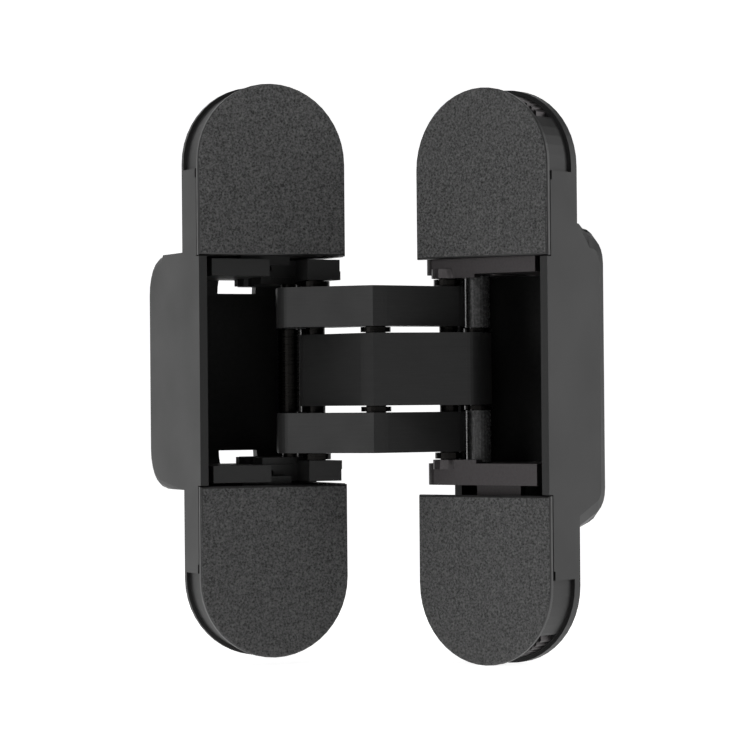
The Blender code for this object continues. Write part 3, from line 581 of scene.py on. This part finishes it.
for half in PLANS:
    casting = nodes[f"{half}_housing"].data
    # Faces inside the pocket take the darker material, which is painted shade for the pocket.
    casting.materials.append(pocket_shade)
    for face in casting.polygons:
        face.material_index = int(in_pocket(half, face.center))
    print(half, "pocket:", sum(face.material_index for face in casting.polygons), "faces")
    for end in ("upper", "lower"):
        cover = nodes[f"{half}_cap_{end}"].data
        cover.materials.append(smooth_nylon)
        for face in cover.polygons:
            face.material_index = int(face.normal.dot(front_of(half)) < FRONT_FACING)

# %% [markdown]
# ## Broken edges
#
# No real edge is perfectly sharp: the file, the tumbler or the coat of enamel rounds it, and the
# tiny round catches a line of light. A Bevel modifier does the same. The rounds could be cut in the
# solids, but they would cost the physics model many faces that it has no use for. The solids come
# in as triangles with their corners split, so a Weld modifier joins them first. A Weighted Normal
# modifier comes last. It lets the big faces decide the shading, so that a flat facet looks flat
# right up to its round edge.

# %% Weld and bevel
EDGE_ROUND = {"housing": 0.20, "_arm": 0.25, "carrier": 0.20, "_cap_": 0.12, "frame_slide_": 0.15}
SAME_POINT = 0.001
SHARP_ANGLE = 40.0
for name, solid in nodes.items():
    for word, width in EDGE_ROUND.items():
        if word not in name:
            continue
        weld = solid.modifiers.new("weld", "WELD")
        weld.merge_threshold = SAME_POINT * MM
        soften = solid.modifiers.new("broken_edge", "BEVEL")
        soften.width = width * MM
        soften.segments = 2
        soften.limit_method = "ANGLE"
        soften.angle_limit = math.radians(SHARP_ANGLE)
        level = solid.modifiers.new("flat_facets", "WEIGHTED_NORMAL")
        level.keep_sharp = True
print("edges broken on", sum(1 for n in nodes.values() if n.modifiers), "solids")

# %% [markdown]
# ## Floor and backdrop
#
# A product photographer stands the piece on a sheet that sweeps up behind it, so no horizon shows.
# A floor and a wall would do, but their corner would show as a line. The sweep is one mesh: a row
# of points along its profile, drawn out sideways. What the camera sees of it is white: the material
# glows for camera, glossy and transmission rays. The glow stays a little under full strength, and
# the lamps add the rest, so the sheet is plain white right up to the hinge, as in the photograph.
# To the other rays it is only pale paper, so it doesn't light the hinge from all sides.

# %% The sweep
FLOOR_LEVEL = cad_bounds[0][2]
SWEEP_BACK = 0.9
SWEEP_RADIUS = 0.5
SWEEP_TOP = 1.6
SWEEP_FRONT = -1.6
SWEEP_HALF_WIDTH = 2.2
SWEEP_STEPS = 12
profile = [(SWEEP_FRONT, FLOOR_LEVEL), (SWEEP_BACK, FLOOR_LEVEL)]
for step in range(1, SWEEP_STEPS + 1):
    turn = math.radians(90 / SWEEP_STEPS * step)
    profile.append(
        (
            SWEEP_BACK + SWEEP_RADIUS * math.sin(turn),
            FLOOR_LEVEL + SWEEP_RADIUS * (1 - math.cos(turn)),
        )
    )
profile.append((SWEEP_BACK + SWEEP_RADIUS, SWEEP_TOP))

sheet_mesh = bmesh.new()
rows = []
for y, z in profile:
    ends = [sheet_mesh.verts.new((x, y, z)) for x in (-SWEEP_HALF_WIDTH, SWEEP_HALF_WIDTH)]
    rows.append(ends)
for low, high in zip(rows, rows[1:]):
    sheet_mesh.faces.new((low[0], low[1], high[1], high[0]))
sweep_data = bpy.data.meshes.new("sweep")
sheet_mesh.to_mesh(sweep_data)
sheet_mesh.free()
sweep_data.shade_smooth()
sweep = bpy.data.objects.new("sweep", sweep_data)
bpy.context.scene.collection.objects.link(sweep)
print("sweep with", len(profile), "rows")

# %% White paper
PAPER_FIBRE = 1.2
PAPER_GLOW = 0.92
paper = bpy.data.materials.new("matt_white_paper")
paper.use_nodes = True
tree = paper.node_tree
tree.nodes.clear()
place = add_node(tree, "ShaderNodeTexCoord")
fibre = add_node(
    tree,
    "ShaderNodeTexNoise",
    {"Vector": (place, "Object"), "Scale": per_metre(PAPER_FIBRE), "Detail": 4.0},
)
tooth = add_node(tree, "ShaderNodeBump", {"Height": (fibre, "Fac"), "Strength": 0.05, "Distance": MM})
lit = add_node(
    tree,
    "ShaderNodeBsdfDiffuse",
    {"Color": colour("#e6e6e6"), "Normal": (tooth, "Normal")},
)
glow = add_node(tree, "ShaderNodeEmission", {"Color": colour("#ffffff"), "Strength": PAPER_GLOW})
both = add_node(tree, "ShaderNodeAddShader")
plug_in(tree, both, 0, (lit, "BSDF"))
plug_in(tree, both, 1, (glow, "Emission"))
rays = add_node(tree, "ShaderNodeLightPath")
seen = add_node(tree, "ShaderNodeMath", operation="MAXIMUM")
plug_in(tree, seen, 0, (rays, "Is Camera Ray"))
mirrored = add_node(tree, "ShaderNodeMath", operation="MAXIMUM")
plug_in(tree, mirrored, 0, (rays, "Is Glossy Ray"))
plug_in(tree, mirrored, 1, (rays, "Is Transmission Ray"))
plug_in(tree, seen, 1, (mirrored, "Value"))
choose = add_node(tree, "ShaderNodeMixShader", {"Fac": (seen, "Value")})
plug_in(tree, choose, 1, (lit, "BSDF"))
plug_in(tree, choose, 2, (both, "Shader"))
add_node(tree, "ShaderNodeOutputMaterial", {"Surface": (choose, "Shader")})
sweep_data.materials.append(paper)
print("made", paper.name)

# %% [markdown]
# ## The camera
#
# The photograph was taken from about 0.6 m with a long lens, level with the middle of the hinge and
# about 24 degrees to the left of square on to the frame half. The picture is 750 by 750 pixels, and
# its focal length of 3144 pixels is a 151 mm lens on a 36 mm sensor. The place and the three angles
# were worked out from corners that show in the photograph, and not set by eye.

# %% Camera
SENSOR = 36.0
FOCAL_PIXELS = 3144.0
PICTURE = 750.0
CAMERA_PLACE = Vector((-225.1, -578.2, -5.8)) * MM
CAMERA_TURN = math.radians(-24.1)
CAMERA_PITCH = math.radians(0.46)
CAMERA_ROLL = math.radians(-0.5)
lens = bpy.data.cameras.new("camera")
lens.sensor_width = SENSOR
lens.lens = SENSOR * FOCAL_PIXELS / PICTURE
lens.clip_start = 0.01
lens.clip_end = 20.0
camera = bpy.data.objects.new("camera", lens)
camera.matrix_world = (
    Matrix.Translation(CAMERA_PLACE)
    @ Matrix.Rotation(CAMERA_TURN, 4, "Z")
    @ Matrix.Rotation(math.pi / 2 + CAMERA_PITCH, 4, "X")
    @ Matrix.Rotation(CAMERA_ROLL, 4, "Z")
)
bpy.context.scene.collection.objects.link(camera)
bpy.context.scene.camera = camera
print("lens", round(lens.lens, 1), "mm")

# %% [markdown]
# ## Light
#
# Black satin surfaces show what they reflect, so the lamps are big soft boxes. A picture of a
# studio wrapped round the scene could light it too, but with boxes each sheen has one lamp to
# answer for it, and can be moved alone. The one on the left draws the sheen on the left facets of
# the arms and on the door's carriers. The one on the right lights the frame's covers and the door's
# side wall, and stands where the door half hides it from the arms, whose right facets stay dark.
# One more hangs overhead. Dim world light fills the rest.

# %% Soft boxes
SUBJECT = Vector((0.020, -0.030, 0.0))
FILL_LIGHT = 0.05


def soft_box(name, turn, rise, distance, size, power):
    """An area lamp, turned from the camera's own direction and raised, aimed at the subject."""
    lamp = bpy.data.lights.new(name, "AREA")
    lamp.shape = "RECTANGLE"
    lamp.size, lamp.size_y = size
    lamp.energy = power
    bearing = math.radians(-90.0 + turn) + CAMERA_TURN
    way = Vector(
        (
            math.cos(math.radians(rise)) * math.cos(bearing),
            math.cos(math.radians(rise)) * math.sin(bearing),
            math.sin(math.radians(rise)),
        )
    )
    holder = bpy.data.objects.new(name, lamp)
    holder.location = SUBJECT + way * distance
    holder.rotation_euler = (-way).to_track_quat("-Z", "Y").to_euler()
    bpy.context.scene.collection.objects.link(holder)
    return holder


soft_box("left_box", -46.0, 0.0, 0.9, (0.35, 1.1), 3.2)
soft_box("right_box", 96.0, 6.0, 0.9, (0.5, 1.1), 4.4)
soft_box("top_box", 0.0, 68.0, 1.0, (0.9, 0.9), 4.5)

world = bpy.data.worlds.new("studio")
world.use_nodes = True
world.node_tree.nodes["Background"].inputs["Color"].default_value = colour("#ffffff")
world.node_tree.nodes["Background"].inputs["Strength"].default_value = FILL_LIGHT
bpy.context.scene.world = world
bpy.context.scene.view_settings.view_transform = "Standard"
print("three soft boxes")
